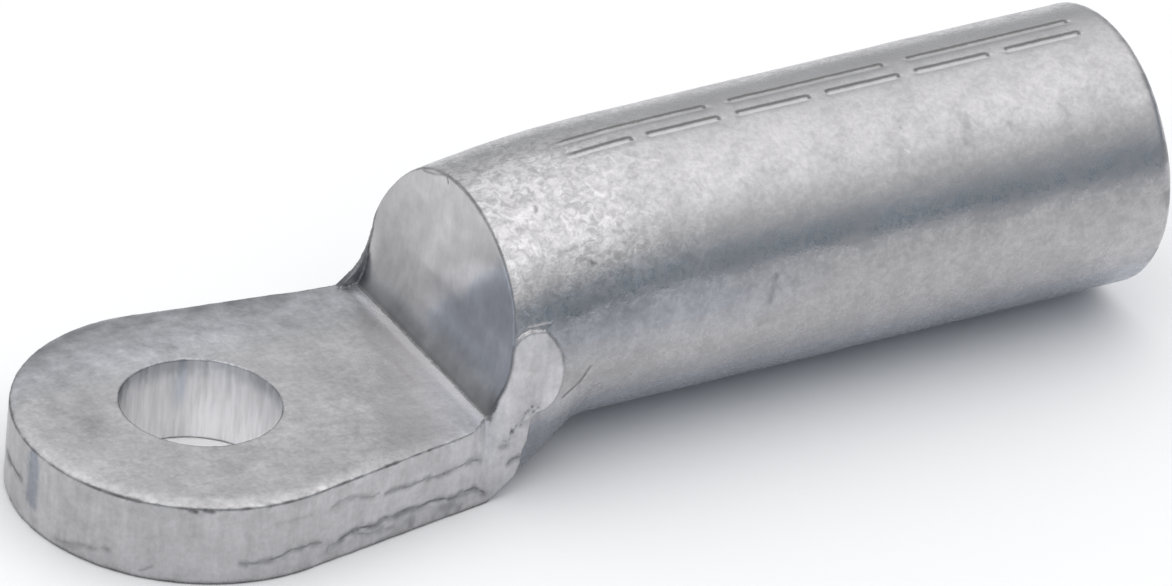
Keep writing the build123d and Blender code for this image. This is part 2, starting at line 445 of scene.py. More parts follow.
def seg_dist(u, v, a, b):
    """Distance in a plane from (u, v) to the segment a-b, and the place along it."""
    ex, ey = b[0] - a[0], b[1] - a[1]
    t = clamp01(((u - a[0]) * ex + (v - a[1]) * ey) / (ex * ex + ey * ey))
    return np.hypot(u - a[0] - t * ex, v - a[1] - t * ey), t


# cracks, scratches and nicks as lines of points on the surface:
# points, half width, depth, how dark
LINES = [
    ([(-4.53, -14.51, 1.99), (-3.21, -14.80, 1.75), (-2.32, -14.94, 1.86), (-1.08, -15.03, 2.02), (-0.14, -15.04, 2.44),
      (0.72, -14.99, 2.29), (1.76, -14.87, 2.38), (2.86, -14.68, 2.09)], 0.11, 0.07, 0.75),
    ([(4.72, -14.37, 1.70), (5.77, -14.20, 2.09), (6.85, -14.01, 2.14), (8.34, -13.75, 1.79), (9.03, -13.64, 2.21),
      (10.32, -13.42, 2.03), (11.37, -13.25, 2.25), (12.67, -13.03, 2.00), (13.75, -12.85, 2.19), (15.04, -12.63, 2.00),
      (15.98, -12.47, 1.59), (17.04, -12.31, 1.82), (18.30, -12.10, 1.97), (19.35, -11.93, 1.13)], 0.12, 0.10, 0.9),
    ([(3.46, -14.58, 1.01), (3.62, -14.56, 1.57), (4.73, -14.37, 1.51)], 0.09, 0.05, 0.5),
    ([(6.23, -14.12, 1.84), (7.66, -13.87, 1.25), (8.62, -13.71, 1.20), (10.06, -13.47, 1.03)], 0.10, 0.06, 0.5),
    ([(3.69, -14.55, 5.13), (5.09, -14.31, 5.49), (6.59, -14.05, 5.06), (7.70, -13.87, 4.70), (8.43, -13.74, 4.75)], 0.09, 0.05, 0.5),
    ([(9.08, -13.64, 4.57), (10.08, -13.47, 4.62), (11.37, -13.25, 4.38), (12.08, -13.13, 4.42), (13.35, -12.92, 4.49),
      (14.27, -12.75, 4.33), (15.01, -12.63, 4.34), (16.07, -12.46, 4.47), (16.98, -12.31, 4.50), (17.69, -12.21, 4.64),
      (18.63, -12.04, 4.36)], 0.10, 0.06, 0.75),
    ([(-1.94, -14.97, 5.18), (0.32, -15.02, 5.15), (1.88, -14.85, 5.19)], 0.08, 0.03, 0.25),
    ([(20.55, -11.70, 4.90), (21.23, -11.65, 4.94)], 0.12, 0.07, 0.6),
    ([(18.9, 11.9, 2.05), (17.6, 12.1, 2.35), (16.2, 12.3, 1.95), (14.9, 12.5, 2.25), (13.6, 12.7, 2.1), (12.1, 12.9, 2.4),
      (10.7, 13.1, 2.1), (9.6, 13.3, 2.3)], 0.12, 0.09, 0.8),
    ([(6.1, 13.9, 2.2), (4.8, 14.1, 1.95), (3.4, 14.3, 2.2), (2.1, 14.5, 2.0), (0.8, 14.6, 2.3)], 0.10, 0.06, 0.6),
    ([(16.8, 12.2, 4.6), (15.5, 12.4, 4.85), (14.0, 12.6, 4.6), (12.8, 12.8, 4.9), (11.6, 13.0, 4.7)], 0.09, 0.05, 0.6),
    ([(-3.6, 14.2, 2.6), (-5.0, 13.7, 2.35), (-6.1, 13.2, 2.5)], 0.09, 0.05, 0.45),
    ([(21.48, -11.65, 3.14), (21.89, -11.6, 3.42), (22.52, -11.55, 3.48)], 0.12, 0.10, 0.8),
    ([(-14.29, 5.78, 3.31), (-14.81, 4.38, 3.31), (-15.10, 2.90, 3.32), (-15.35, 1.55, 3.30)], 0.15, 0.08, 1.0),
    ([(-15.04, -3.76, 0.63), (-14.56, -5.28, 0.91), (-14.00, -6.61, 1.41), (-13.57, -7.45, 1.47), (-13.27, -7.94, 1.84),
      (-12.95, -8.44, 1.81)], 0.10, 0.05, 0.5),
    ([(-11.26, -10.52, 0.66), (-10.58, -11.17, 1.15)], 0.10, 0.05, 0.4),
    ([(-8.42, -12.81, 6.94), (-7.99, -13.06, 6.74)], 0.26, 0.05, 0.9),
    ([(-7.38, -13.39, 6.92), (-6.80, -13.67, 6.81)], 0.26, 0.05, 0.9),
    # a crease across the near side of the neck: its dark line is painted shade
    ([(28.68, -11.30, 10.26), (28.23, -11.25, 9.50), (27.76, -11.2, 8.84), (27.13, -11.1, 8.45), (26.43, -11.2, 7.93)], 0.13, 0.08, 0.8),
    ([(30.07, -10.79, 7.99), (29.32, -10.72, 7.57)], 0.08, 0.04, 0.3),
    # the crease along the near ear's top: its dark line is painted shade
    ([(22.86, -10.94, 14.95), (23.94, -10.97, 14.93), (24.76, -11.00, 14.93)], 0.10, 0.04, 0.35),
    ([(22.66, 6.12, 20.12), (22.64, 4.73, 20.63), (22.64, 3.40, 21.28), (22.82, 2.19, 21.75)], 0.10, 0.05, 0.7),
    ([(22.63, 2.45, 21.53), (22.59, 2.18, 21.13)], 0.12, 0.05, 0.7),
    ([(22.77, 1.47, 21.80), (22.70, 0.08, 21.86), (22.60, -1.20, 21.75), (22.56, -2.25, 21.6), (22.44, -3.13, 21.3)], 0.10, 0.04, 0.7),
]
# soft dark rubs on the barrel: points, half width, strength
SMUDGES = [
    ([(65.2, -6.2, 21.8), (65.2, -7.0, 21.2), (64.8, -7.8, 20.6)], 0.75, 0.16),
    ([(59.62, -4.87, 22.5), (59.63, -6.2, 21.8)], 0.14, 0.35),
    ([(68.9, -7.2, 21.0), (69.2, -7.5, 20.8)], 0.35, 0.25),
    ([(26.99, -3.81, 22.1), (26.29, -5.36, 21.4)], 0.12, 0.5),
    ([(29.28, -9.22, 18.65), (29.6, -9.35, 18.5)], 0.18, 0.6),
    ([(73.9, -6.9, 21.3), (74.4, -7.6, 20.7)], 0.30, 0.2),
    ([(44.2, -6.8, 21.3), (44.6, -7.2, 21.0)], 0.25, 0.2),
    ([(45.0, -11.4, 12.4), (45.3, -11.3, 13.6), (45.6, -11.2, 14.6)], 0.36, 0.28),
    ([(29.8, -11.2, 14.3), (31.6, -11.2, 14.4), (33.4, -11.2, 14.0)], 0.9, 0.17),
    ([(44.3, -11.2, 10.4), (44.9, -11.3, 10.7)], 0.5, 0.12),
]
# painted highlights, short glints on the barrel and the ear: points, half width, strength
GLINTS = [
    ([(31.5, -4.1, 22.6), (31.7, -4.6, 22.4), (31.96, -5.3, 22.05), (32.4, -5.5, 21.9)], 0.16, 0.9),
    ([(22.75, -10.3, 16.2), (23.1, -10.5, 15.8)], 0.12, 0.9),
    ([(37.66, -3.65, 23.0), (38.3, -3.9, 22.9)], 0.14, 0.7),
    ([(34.8, -7.3, 20.9), (35.9, -7.7, 20.6)], 0.10, 0.5),
    ([(59.2, -7.4, 20.9), (59.5, -7.6, 20.7)], 0.12, 0.7),
    ([(28.2, -6.0, 21.2), (28.4, -6.6, 20.9)], 0.18, 0.7),
    ([(25.0, -7.0, 19.9), (25.1, -7.8, 19.4)], 0.18, 0.8),
]
# pits in a row across the near ear, where the metal tore while it was sheared
PITS = [(24.11, -11.5, 7.82), (23.72, -11.5, 7.72), (23.29, -11.52, 7.66), (22.78, -11.52, 7.05), (22.5, -11.52, 6.8),
        (22.34, -11.55, 6.61), (21.9, -11.55, 6.15), (21.73, -11.6, 5.94), (21.35, -11.6, 5.6), (20.99, -11.65, 5.43)]


def mark_dist(p):
    """Signed distance over the crown to the edge of the nearest crimping mark."""
    best, past_end = np.full(len(p), 9.0), np.full(len(p), -9.0)
    m = (p[:, 2] > 21.0) & (np.abs(p[:, 1]) < 4) & (p[:, 0] > 28)
    u, v = p[m, 0], p[m, 1]
    d, e = np.full(m.sum(), 9.0), np.full(m.sum(), -9.0)
    for side, rows in ((1, LONG_MARKS), (-1, SHORT_MARKS)):
        for x0, x1 in rows:
            s, _ = seg_dist(u, v, (x0 + 0.25, side * 0.98), (x1 - 0.25, side * 0.98))
            e = np.where(s - 0.25 < d, u - x1, e)
            d = np.minimum(d, s - 0.25)
    best[m], past_end[m] = d, e
    return best, past_end


def line_dist(p, pts):
    best = np.full(len(p), 9.0)
    q = np.array(pts)
    lo, hi = q.min(0) - 1.2, q.max(0) + 1.2
    m = ((p > lo) & (p < hi)).all(1)
    if not m.any():
        return best
    w = p[m]
    d = np.full(len(w), 81.0)
    for a, b in zip(q[:-1], q[1:]):
        e = b - a
        t = clamp01(((w - a) @ e) / (e @ e))
        d = np.minimum(d, ((w - a - t[:, None] * e) ** 2).sum(1))
    best[m] = np.sqrt(d)
    return best


def edge_dists(p):
    """Distances to the lug's own edges, for finer triangles and for the dark lines painted along them, mostly painted
    shade.
    """
    x, y, z = p.T
    trim = outline(x, y)
    foot = shoulder_x(y, np.full_like(z, PALM_T)) - x
    t = clamp01((trim + 1.5) / 1.5)
    top = PALM_T - 0.30 * t * t * (1 - 0.6 * smooth(2.0, 14.0, x)) * (1 - smooth(15.5, 18.5, x))
    dz = z - AXIS_Z
    s = sink(np.clip(x, 17, 90))
    shell = np.hypot(y, np.where(dz > 0, dz * R / (R - s), dz)) - R
    face = shoulder_x(y, z) - ease_in(y, z) - x
    hr = np.hypot(x, y - HOLE_Y) - 6.5
    far = np.full(len(p), 9.0)
    out = {
        "crest": np.where(x < 19.2, np.hypot(trim, z - top), far),
        "low": np.where(x < 21.0, np.hypot(trim, z), far),
        "foot": np.where(np.abs(y) < 11.4, np.hypot(foot, z - PALM_T - 0.1), far),
        "rim": np.where(z > 7.8, np.hypot(np.maximum(shell, -0.4), face), far),
        "hole_top": np.hypot(hr, z - PALM_T),
        "hole_low": np.hypot(hr, z),
    }
    ear = far.copy()
    m = (x > 17) & (x < 28) & (z < 16) & (y < -9)
    ear[m] = np.hypot(poly_sdf(x[m], z[m], EAR_NEAR), np.maximum(np.abs(y[m] + 11.5) - 0.2, 0) * 0.5)
    m2 = (x > 17) & (x < 28) & (z < 16) & (y > 9)
    ear[m2] = np.hypot(poly_sdf(x[m2], z[m2], EAR_FAR), np.maximum(np.abs(y[m2] - 11.4) - 0.2, 0) * 0.5)
    ear[(z < 0.3) | (x < 19.2)] = 9.0
    out["ear"] = ear
    return out


def on_surface():
    """Lays the drawn lines onto the surface, in short steps."""
    for rows in (LINES, SMUDGES, GLINTS):
        for k, row in enumerate(rows):
            q = np.array(row[0])
            run = np.concatenate([[0], np.cumsum(np.linalg.norm(np.diff(q, axis=0), axis=1))])
            t = np.linspace(0, run[-1], max(2, int(run[-1] / 0.35)))
            q = np.stack([np.interp(t, run, q[:, j]) for j in range(3)], 1)
            rows[k] = (project(q, 8, 0.3),) + tuple(row[1:])
    q = np.array(PITS)
    run = np.concatenate([[0], np.cumsum(np.linalg.norm(np.diff(q, axis=0), axis=1))])
    t = np.linspace(0, run[-1], 34)
    q = np.stack([np.interp(t, run, q[:, j]) for j in range(3)], 1)
    rng = np.random.default_rng(7)
    q[:, 0] += rng.uniform(-0.26, 0.26, len(q))
    q[:, 2] += rng.uniform(-0.34, 0.34, len(q))
    PITS[:] = list(project(q, 8, 0.3))


def detail(p):
    """Distance to the places that need the finest triangles."""
    d = np.maximum(np.abs(mark_dist(p)[0]) - 0.02, 0)
    for pts, w, _, _ in LINES:
        d = np.minimum(d, np.maximum(line_dist(p, pts) - w, 0))
    for q in PITS:
        d = np.minimum(d, np.maximum(np.linalg.norm(p - np.array(q), axis=1) - 0.15, 0))
    for pts, w, _ in SMUDGES:
        d = np.minimum(d, np.maximum(line_dist(p, pts) - w, 0) + 0.21)
    for pts, w, _ in GLINTS:
        d = np.minimum(d, np.maximum(line_dist(p, pts) - w, 0))
    for k, v in edge_dists(p).items():
        d = np.minimum(d, v + 0.2 if k in ("low", "hole_low") else v)
    return d


def want_fn(level):
    def want(a, b, ln):
        m = (a + b) / 2
        na, nb = unit(grad(a)), unit(grad(b))
        turn = np.arccos(np.clip((na * nb).sum(1), -1, 1))
        inner = (np.hypot(m[:, 1], m[:, 2] - AXIS_Z) < BORE_R + 0.02) & (m[:, 0] > 27) & (m[:, 0] < MOUTH - 1)
        d = detail(m)
        tgt = np.where(d < 0.20, 0.13, np.where(d < 0.5, 0.28, 0.62))
        tgt = np.minimum(tgt, np.where(turn > 0.16, 0.15, np.where(turn > 0.08, 0.34, 9.0)))
        tgt = np.where(inner, 9.0, tgt)
        return ln > tgt * 1.4
    return want


def build():
    on_surface()
    p, tris = surface_nets(0.56)
    p = project(p, 3)
    for _ in range(4):
        p = project(relax(p, tris, 0.6), 1)
    for level in range(3):
        p, tris, new = refine(p, tris, want_fn(level))
        p = project(p, 2, 0.15)
        p = project(relax(p, tris, 0.35), 1, 0.1)
    p = project(p, 2, 0.1)
    n = unit(grad(p))
    x, y, z = p.T
    ed = edge_dists(p)
    trim = outline(x, y)
    bore = (np.hypot(y, z - AXIS_Z) < BORE_R + 0.2) & (x > 27) & (x < MOUTH - 0.1)
    side = (np.abs(n[:, 2]) < 0.75) & (trim > -1.4) & (np.abs(n[:, 1]) > 0.35) & (x < 27) & ~((z > PALM_T + 0.3) & (x < 18.5))
    side |= (x < 0) & (np.abs(n[:, 2]) < 0.5) & (trim > -0.4)
    past = x > 19.0
    inear = np.ones(len(p), bool)
    inear[past & (y < 0)] = poly_sdf(x[past & (y < 0)], z[past & (y < 0)], EAR_NEAR) < 0.05
    inear[past & (y >= 0)] = poly_sdf(x[past & (y >= 0)], z[past & (y >= 0)], EAR_FAR) < 0.05
    side &= inear
    hole = np.hypot(x, y - HOLE_Y) < 6.6
    face = (n[:, 0] < -0.6) & (x > 18.5) & (x < 24) & (z > PALM_T + 0.05) & ~side & ~bore
    palm = (n[:, 2] > 0.7) & (x < 21) & (z < 9)
    dark = np.zeros(len(p))
    light = np.zeros(len(p))
    h = np.zeros(len(p))
    wob = noise(p, 0.9, 31) * 0.5 + noise(p, 0.35, 32) * 0.5

    # crimping marks: a crisp upper edge, and a lower side that runs out softly
    d, past_end = mark_dist(p)
    fade = smooth(30.4, 32.6, x)
    upper = np.where(y > 0, y - 0.98, y + 0.98)
    h -= 0.09 * (1 - smooth(-0.20, 0.75 - 0.70 * smooth(-0.15, 0.10, upper), d)) * fade
    hook = smooth(-0.42, -0.02, past_end)
    # painted shade along each mark's upper wall, a painted highlight along its lower lip and a faint one in its floor
    dark = np.maximum(dark, (1 - smooth(0.08, 0.24, np.abs(d + 0.02 - 0.04 * wob))) * smooth(-0.10, 0.12, upper + 0.24 * hook) * fade * 0.79)
    light = np.maximum(light, (1 - smooth(0.05, 0.16, np.abs(d + 0.06))) * smooth(0.00, -0.16, upper) * fade * (1 - hook) * 0.72)
    light = np.maximum(light, (1 - smooth(-0.16, -0.05, d)) * 0.15 * fade)

    # cracks and scratches, and two creases whose dark line is painted shade
    for pts, w, depth, tone in LINES:
        w = w * 1.32
        s = line_dist(p, pts) + 0.07 * wob
        k = 1 - smooth(0.25 * w, w, s)
        h -= depth * k
        dark = np.maximum(dark, tone * k * clamp01(0.75 + 0.6 * wob))
        if pts[:, 2].max() < 6.0:                 # the torn metal beside a crack
            dark = np.maximum(dark, 0.50 * tone * (1 - smooth(w, 3.8 * w, s)) * clamp01(0.55 + 1.1 * noise(p, 0.7, 33)))
    for pts, w, tone in SMUDGES:
        s = line_dist(p, pts) + 0.10 * wob
        dark = np.maximum(dark, tone * (1 - smooth(0.2 * w, w, s)))
    # painted highlights along the glints
    for pts, w, tone in GLINTS:
        s = line_dist(p, pts) + 0.06 * wob
        light = np.maximum(light, 0.72 * tone * (1 - smooth(0.2 * w, w, s)))
    for i, q in enumerate(PITS):
        s = np.linalg.norm(p - np.array(q), axis=1) + 0.06 * wob
        k = 1 - smooth(0.04, 0.11 + 0.05 * (i * 7 % 3), s)
        h -= 0.07 * k
        dark = np.maximum(dark, (0.20 + 0.15 * (i * 5 % 4)) * k)
    s = line_dist(p, PITS[::4] + PITS[-1:])
    dark = np.maximum(dark, 0.20 * side * (1 - smooth(0.25, 0.75, s)) * clamp01(0.55 + 1.3 * noise(p, 0.5, 34)))

    # edges of the lug
    # painted shade along the palm's crest, over a shallow groove
    s = ed["crest"] + 0.09 * wob
    dark = np.maximum(dark, (1 - smooth(0.05, 0.21, s)) * 0.80 * clamp01(0.68 + 0.45 * noise(p, 1.9, 41) + 0.55 * noise(p, 0.7, 49)))
    h -= 0.03 * (1 - smooth(0.02, 0.14, s))
    # painted shade where the palm's lower edge meets the floor
    dark = np.maximum(dark, (1 - smooth(0.06, 0.40, ed["low"] + 0.10 * wob)) * 0.66)
    torn = side * (y < 0) * smooth(7.5, 9.0, x) * (1 - smooth(17.0, 19.5, x)) * (1 - smooth(1.3, 2.0, z + 0.25 * wob))
    dark = np.maximum(dark, 0.36 * torn * clamp01(0.45 + 1.4 * noise(p, 0.6, 47)))
    # painted shade in the crease at the shoulder's foot and up the foot of its face, darkest at the near corner
    s = ed["foot"]
    ahead = shoulder_x(y, np.full_like(z, PALM_T)) - x
    dark = np.maximum(dark, (ahead < 0.05) * (np.abs(y) < 11.2) * (x < 21) * (z > 7.2) * (1 - smooth(7.5, 8.1, z)) * 0.55)
    dark = np.maximum(dark, face * (1 - smooth(7.4, 9.2, z)) * (0.26 + 0.42 * smooth(-5.0, -11.0, y)))
    dark = np.maximum(dark, face * 0.72 * np.exp(-((y + 10.9) / 1.3) ** 2 - ((z - 7.9) / 0.9) ** 2))
    # inner side of the thin wall at the far corner, and the crease along it, which are given painted light and shade
    # further down
    wall_in = smooth(10.9, 11.0, y) * ((x > 18.5) & (x < 22.6) & (z > PALM_T - 0.02) & (z < 14.5) & (n[:, 1] < 0.3) & (n[:, 0] < 0.4))
    s = ed["rim"] + 0.04 * wob
    dark = np.maximum(dark, (1 - smooth(0.06, 0.28, s)) * 0.72 * clamp01(0.85 + 0.45 * noise(p, 1.6, 42)))
    # painted shade just under the hole's top rim, and where its lower rim meets the floor
    s = ed["hole_top"] + 0.03 * wob
    dark = np.maximum(dark, (1 - smooth(0.03, 0.18, s)) * 0.7)
    dark = np.maximum(dark, (1 - smooth(0.03, 0.18, ed["hole_low"])) * 0.6)
    # painted shade along the ear's edges, deeper towards its top
    s = ed["ear"] + 0.08 * wob
    dark = np.maximum(dark, (1 - smooth(0.04, 0.20, s)) * (0.18 + 0.35 * smooth(8.5, 10.5, z)) * clamp01(0.6 + 0.8 * noise(p, 1.2, 43)))
    dark = np.maximum(dark, 0.35 * smooth(81.4, 82.3, x) * smooth(0.05, 0.5, noise(p, 1.3, 45) + 0.6 * noise(p, 0.6, 46)) * (np.hypot(y, z - AXIS_Z) > 10.75))
    # painted highlight on a strip of the palm along the shoulder's foot, where its top rises, and along its rolled
    # front edge
    foot = shoulder_x(y, np.full_like(z, PALM_T)) - x
    light = np.maximum(light, palm * smooth(1.6, 0.55, foot) * smooth(0.0, 0.06, foot) * (0.64 + 0.24 * smooth(2.0, 9.0, y)))
    front = palm * smooth(-1.15, -0.15, trim + 0.25 * wob) * (1 - 0.6 * smooth(2.0, 12.0, x)) * (1 - smooth(15.0, 18.0, x)) * smooth(-14.5, -9.0, x + 0.4 * y)
    front = front * (y < 0) * clamp01(0.75 + 0.7 * noise(p, 1.5, 48))
    light = np.maximum(light, front * smooth(-0.1, 0.7, wob + 0.3 * noise(p, 2.2, 44)) * 0.75)

    # broad differences of lightness, mostly painted light and shade, with some random tone: 1 is plain
    gain = np.ones(len(p))
    # painted light and shade on the palm's top: lighter towards the shoulder's foot, darker at the far edge and in
    # patches, with random tone mixed in
    gain += 0.27 * palm * smooth(11.0, 18.0, x) * smooth(4.0, -6.0, y) + 0.16 * palm * smooth(15.0, 18.5, x) * smooth(8.0, 3.0, y)
    gain -= 0.01 * palm
    gain += 0.10 * palm * smooth(13.5, 16.5, x) * smooth(4.0, 1.5, y) * smooth(-9.5, -7.0, y)
    gain += 0.22 * palm * np.exp(-((x - 18.2) / 1.0) ** 2 - ((y - 0.5) / 2.6) ** 2)
    gain -= 0.30 * palm * smooth(8.2, 12.8, y) * (1 - 0.3 * smooth(14.0, 18.0, x))
    gain -= 0.20 * palm * np.exp(-((x - 16.5) / 2.6) ** 2 - ((y - 7.8) / 2.6) ** 2)
    gain -= 0.14 * palm * np.exp(-((x + 8.6) / 2.8) ** 2 - ((y - 8.0) / 2.6) ** 2)
    gain -= 0.20 * palm * np.exp(-((x + 9.8) / 1.9) ** 2 - ((y - 1.0) / 4.2) ** 2)
    gain -= 0.10 * palm * np.exp(-((x - 12.0) / 1.8) ** 2 - ((y + 0.5) / 4.0) ** 2)
    gain += palm * smooth(5.0, 9.0, y) * (0.12 * noise(p, 1.1, 73) + 0.09 * noise(p, 0.6, 74))
    gain -= 0.075 * palm * smooth(-6.5, -10.0, y)
    gain += palm * smooth(-6.5, -9.5, x) * smooth(0.0, 3.0, y) * (0.09 * noise(p, 1.2, 76) + 0.08 * noise(p, 0.5, 77))
    gain -= 0.10 * palm * smooth(8.5, 11.0, x) * (1 - smooth(13.0, 15.5, x)) * smooth(0.0, 6.0, y)
    gain += palm * (0.045 * noise(p, 3.6, 71) + 0.055 * noise(p, 1.6, 72) + 0.065 * noise(p, 0.8, 75))
    # painted light on the sheared sides, mostly the near one: lighter towards the shoulder, low down and at the corner
    # beside the shoulder
    gain += 0.085 * side * smooth(19.0, 20.5, x) * (y < 0)
    gain += 0.06 * side * (y < 0) + 0.15 * side * smooth(-2.0, 7.0, x) * (y < 0) * smooth(1.0, 3.0, z)
    gain += 0.07 * side * (1 - smooth(1.5, 3.5, z))
    corner = side * (y < 0) * smooth(17.9, 18.6, x) * (1 - smooth(19.5, 19.9, x)) * smooth(3.6, 6.6, z)
    gain += 0.36 * corner
    # the neck under the ear lies in its own shade
    neck = (1 - side) * smooth(21.5, 22.5, x) * (1 - smooth(26.8, 30.0, x)) * (1 - smooth(5.0, 8.2, z)) * (z > 0.05)
    gain -= 0.36 * neck
    gain -= 0.10 * (1 - side) * smooth(25.0, 26.5, x) * (1 - smooth(28.0, 33.0, x)) * smooth(8.0, 10.0, z) * (1 - smooth(15.0, 17.5, z))
    # painted reflections and shade on the pressed shoulder face: a bright diagonal band, lighter patches and a darker
    # lower part
    gain -= 0.24 * face * smooth(16.0, 9.0, z) * smooth(-3.0, 5.0, y)
    gain += 0.10 * face * smooth(16.0, 12.0, z) * smooth(-1.0, -5.0, y)
    gain += 0.10 * face * np.exp(-((y - 1.8) / 2.2) ** 2 - ((z - 14.2) / 2.0) ** 2)
    across = (y + z - 12.0) / 1.414 + 0.5 * noise(p, 2.4, 81)
    centre = np.interp(z, [11.0, 13.0, 15.0, 17.0], [-0.3, 0.4, 0.3, -0.1])
    strength = np.interp(z, [9.0, 10.0, 11.0, 13.0, 15.0, 17.0, 18.5], [0.0, 0.22, 0.45, 0.70, 0.92, 0.78, 0.0])
    gain += face * strength * np.exp(-((across - centre) / np.where(across < centre, 0.98, 1.35)) ** 2)
    gain += face * 0.16 * smooth(17.0, 18.8, z)
    gain += face * 0.26 * np.exp(-((y - 3.1) / 1.3) ** 2 - ((z - 12.9) / 1.2) ** 2)
    gain += face * 0.16 * np.exp(-((y + 4.4) / 1.3) ** 2 - ((z - 14.9) / 1.3) ** 2)
    gain += face * 0.15 * np.exp(-((y - 1.0) / 2.4) ** 2) * smooth(15.2, 16.8, z) * (1 - smooth(17.5, 19.0, z))
    gain -= face * 0.16 * (1 - smooth(8.2, 9.4, z)) * smooth(7.0, 5.5, y) * smooth(-0.5, 1.0, y)
    gain -= 0.32 * face * (1 - smooth(8.8, 11.4, z)) * smooth(1.0, -2.5, y)
    gain += face * (0.05 * noise(p, 1.5, 82) + 0.045 * noise(p, 0.7, 83))
    # the flank of the barrel, just under the dark reflection of the room
    turn = np.degrees(np.arctan2(-y, z - AXIS_Z))
    round_part = (x > 24.5) & ~bore & (y < 0)
    gain -= round_part * np.exp(-((turn - 80.0) / 10.0) ** 2) * (0.21 - 0.08 * smooth(34.0, 60.0, x))
    gain += round_part * np.exp(-((turn - 110.0) / 13.0) ** 2) * 0.09
    gain += round_part * np.exp(-((turn - 38.0) / 15.0) ** 2) * (1 - smooth(27.0, 42.0, x)) * 0.05
    # a dark stained stripe down the tip of the head
    stain = (np.hypot((y + 0.35 + 0.25 * wob) / 0.85, np.maximum(np.abs(z - 4.4) - 2.0, 0) / 0.8) < 3) & (x < -13)
    stain = stain * (1 - smooth(0.5, 1.25, np.hypot((y + 0.35 + 0.3 * wob) / 0.85, np.maximum(np.abs(z - 4.4) - 1.9, 0) / 0.8)))
    gain -= 0.40 * stain
    # painted light and shade on the far wall's inner side and the face beside it: lighter above its foot, darker in the
    # crease and fold along it by which way the surface faces, and darkest low down; the painted highlights are taken
    # off it
    crease_in = wall_in * (1 - smooth(0.10, 0.30, np.abs(y - 11.08)))
    gain += 0.42 * wall_in * smooth(7.5, 8.6, z) - 0.20 * crease_in
    gain += 0.25 * face * smooth(9.6, 10.8, y) * smooth(7.9, 8.8, z) * (1 - smooth(11.0, 13.0, z))
    light *= 1 - wall_in
    wall_zone = smooth(10.9, 11.0, y) * ((x > 18.3) & (x < 22.6) & (z > PALM_T + 0.03) & (z < 14.2) & (n[:, 0] < 0.4))
    dark = np.maximum(dark, 0.66 * wall_zone * smooth(-0.80, -0.50, n[:, 1]) * (1 - smooth(0.80, 0.95, n[:, 1])))
    fold_in = smooth(10.6, 10.9, y) * (1 - smooth(11.2, 11.3, y)) * ((x > 18.3) & (x < 22.6) & (z > PALM_T - 0.05) & (z < 14.2))
    dark = np.maximum(dark, 0.80 * fold_in * smooth(0.03, 0.18, -n[:, 1]) * (1 - smooth(0.92, 0.995, -n[:, 1])))
    dark = np.maximum(dark, 0.10 * wall_in * (1 - smooth(7.8, 9.0, z)))
    # streaks down the wall of the hole, with painted shade darkest under its far rim and one side painted lighter and
    # the other darker
    ang = np.arctan2(y - HOLE_Y, x)
    run = (noise(np.stack([ang * 6.5, z * 0.12, z * 0], 1), 1.3, 51) * 0.45
           + noise(np.stack([ang * 6.5, z * 0.10, z * 0], 1), 0.45, 52) * 0.35
           + noise(np.stack([ang * 6.5, z * 0.08, z * 0], 1), 0.2, 53) * 0.2)
    gain -= hole * 0.30 * smooth(0.0, 0.5, run + 0.10 * smooth(3.0, 7.0, z)) * smooth(0.5, 6.5, z)
    gain += hole * 0.13 * run
    gain -= hole * 0.30 * smooth(5.4, 6.8, z + 0.6 * wob)
    streak = hole * np.exp(-((ang - 1.28 - 0.02 * wob) / 0.06) ** 2) * smooth(1.5, 4.5, z)
    gain += 0.06 * hole - 0.30 * streak * clamp01(0.8 + 0.6 * run)
    gain += hole * (0.22 * smooth(1.35, 0.85, ang) * (ang > -0.6) - 0.22 * smooth(1.95, 2.45, ang))

    # painted light inside the bore
    gain += 0.30 * bore
    # unevenness of the pressed and tumbled skin
    skin = (~bore & ~side & ~face & ~hole).astype(float)
    # the pressed shoulder end of the crown is rougher than the rest
    rough_skin = skin * (x > 20) * (0.15 + 0.85 * (1 - smooth(27.0, 46.0, x + 2.5 * noise(p, 4.0, 61)))) * smooth(12.3, 17.2, z)
    rough_skin = np.maximum(0.80 * rough_skin, 0.13 * skin)
    rough_skin = np.maximum(rough_skin, palm * clamp01(0.24 + 0.20 * noise(p, 3.0, 65)))
    wave = 1 - 0.6 * palm
    h += skin * wave * (0.034 * noise(p * np.array([0.6, 1, 1]), 6.0, 10) + 0.018 * noise(p, 3.2, 11)
                        + 0.008 * noise(p, 1.7, 12) + 0.004 * noise(p, 1.0, 13))
    h += rough_skin * (0.014 * noise(p, 1.1, 14) + 0.008 * noise(p, 0.6, 15))
    # bright bare spots where the crown was pressed
    spot = smooth(0.25, 0.60, 0.5 * noise(p, 0.6, 62) + 0.5 * noise(p, 0.32, 63) + 0.35 * noise(p, 3.0, 64))
    light = np.maximum(light, spot * rough_skin * smooth(14.0, 18.0, z) * 0.28)
